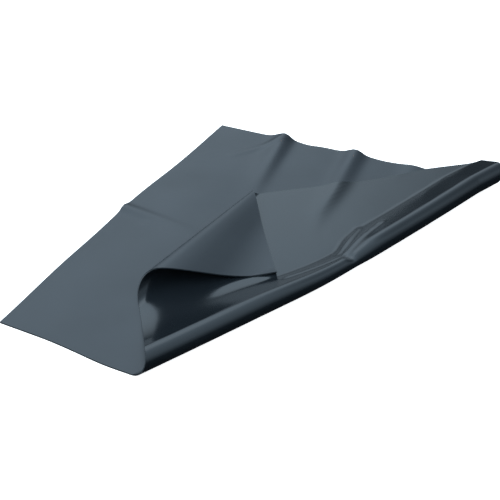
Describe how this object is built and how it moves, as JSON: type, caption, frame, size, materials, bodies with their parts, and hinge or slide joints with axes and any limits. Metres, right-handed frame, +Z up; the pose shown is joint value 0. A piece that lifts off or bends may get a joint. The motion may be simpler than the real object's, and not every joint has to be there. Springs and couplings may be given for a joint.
{
  "type": "seedling heat mat",
  "caption": "Thin flexible electric heat mat for seed trays, folded over itself along a soft roll with one corner curled back.",
  "frame": {"origin": "centre of the bounding box at the floor", "axes": "+Z up from the floor; +Y along the lower layer's long straight edge, towards the far edge; +X across towards the roll"},
  "size_m": [0.4324, 0.578, 0.0336],
  "materials": {
    "outer_film": "smooth black PVC film, the glossier side of the mat",
    "inner_film": "satin charcoal PVC film",
    "foam": "closed-cell insulation foam",
    "heater_film": "amber polyester carrier film",
    "carbon_ink": "printed carbon ink",
    "busbar": "copper foil",
    "rim_weld": "welded PVC border",
    "inlet_plastic": "moulded black plastic",
    "gland_rubber": "soft black rubber",
    "crimp_metal": "tinned crimp",
    "cutout_can": "drawn can"
  },
  "bodies": {
    "lower_panel": {"inlet_base": "inlet_plastic", "inlet_cap": "inlet_plastic", "inlet_gland": "gland_rubber", "left_crimp": "crimp_metal", "lower_carbon_strips": "carbon_ink", "lower_far_busbar": "busbar", "lower_foam_insulation": "foam", "lower_heater_film": "heater_film", "lower_inner_cover": "inner_film", "lower_near_busbar": "busbar", "lower_outer_cover": "outer_film", "lower_rim_weld": "rim_weld", "right_crimp": "crimp_metal", "roll_carbon_strips": "carbon_ink", "roll_far_busbar": "busbar", "roll_foam_insulation": "foam", "roll_heater_film": "heater_film", "roll_inner_cover": "inner_film", "roll_near_busbar": "busbar", "roll_outer_cover": "outer_film", "roll_rim_weld": "rim_weld", "thermal_cutout": "cutout_can"},
    "upper_panel": {"curl_carbon_strips": "carbon_ink", "curl_foam_insulation": "foam", "curl_heater_film": "heater_film", "curl_inner_cover": "inner_film", "curl_near_busbar": "busbar", "curl_outer_cover": "outer_film", "curl_rim_weld": "rim_weld", "upper_carbon_strips": "carbon_ink", "upper_foam_insulation": "foam", "upper_heater_film": "heater_film", "upper_inner_cover": "inner_film", "upper_near_busbar": "busbar", "upper_outer_cover": "outer_film", "upper_rim_weld": "rim_weld"},
    "corner_flap": {"flap_carbon_strips": "carbon_ink", "flap_foam_insulation": "foam", "flap_heater_film": "heater_film", "flap_inner_cover": "inner_film", "flap_near_busbar": "busbar", "flap_outer_cover": "outer_film", "flap_rim_weld": "rim_weld"}
  },
  "joints": [
    {"name": "panel_fold", "type": "hinge", "parent": "lower_panel", "child": "upper_panel", "pos_m": [0.06636, -0.05298, 0.0125], "axis": [0.4195, 0.9078, 0], "range_deg": [0, 150], "deforming": ["roll_carbon_strips", "roll_far_busbar", "roll_foam_insulation", "roll_heater_film", "roll_inner_cover", "roll_near_busbar", "roll_outer_cover", "roll_rim_weld"]},
    {"name": "corner_curl", "type": "hinge", "parent": "upper_panel", "child": "corner_flap", "pos_m": [-0.09081, -0.14529, 0.01747], "axis": [-0.0749, -0.9963, 0.0412], "range_deg": [0, 140], "deforming": ["curl_carbon_strips", "curl_foam_insulation", "curl_heater_film", "curl_inner_cover", "curl_near_busbar", "curl_outer_cover", "curl_rim_weld"]}
  ]
}
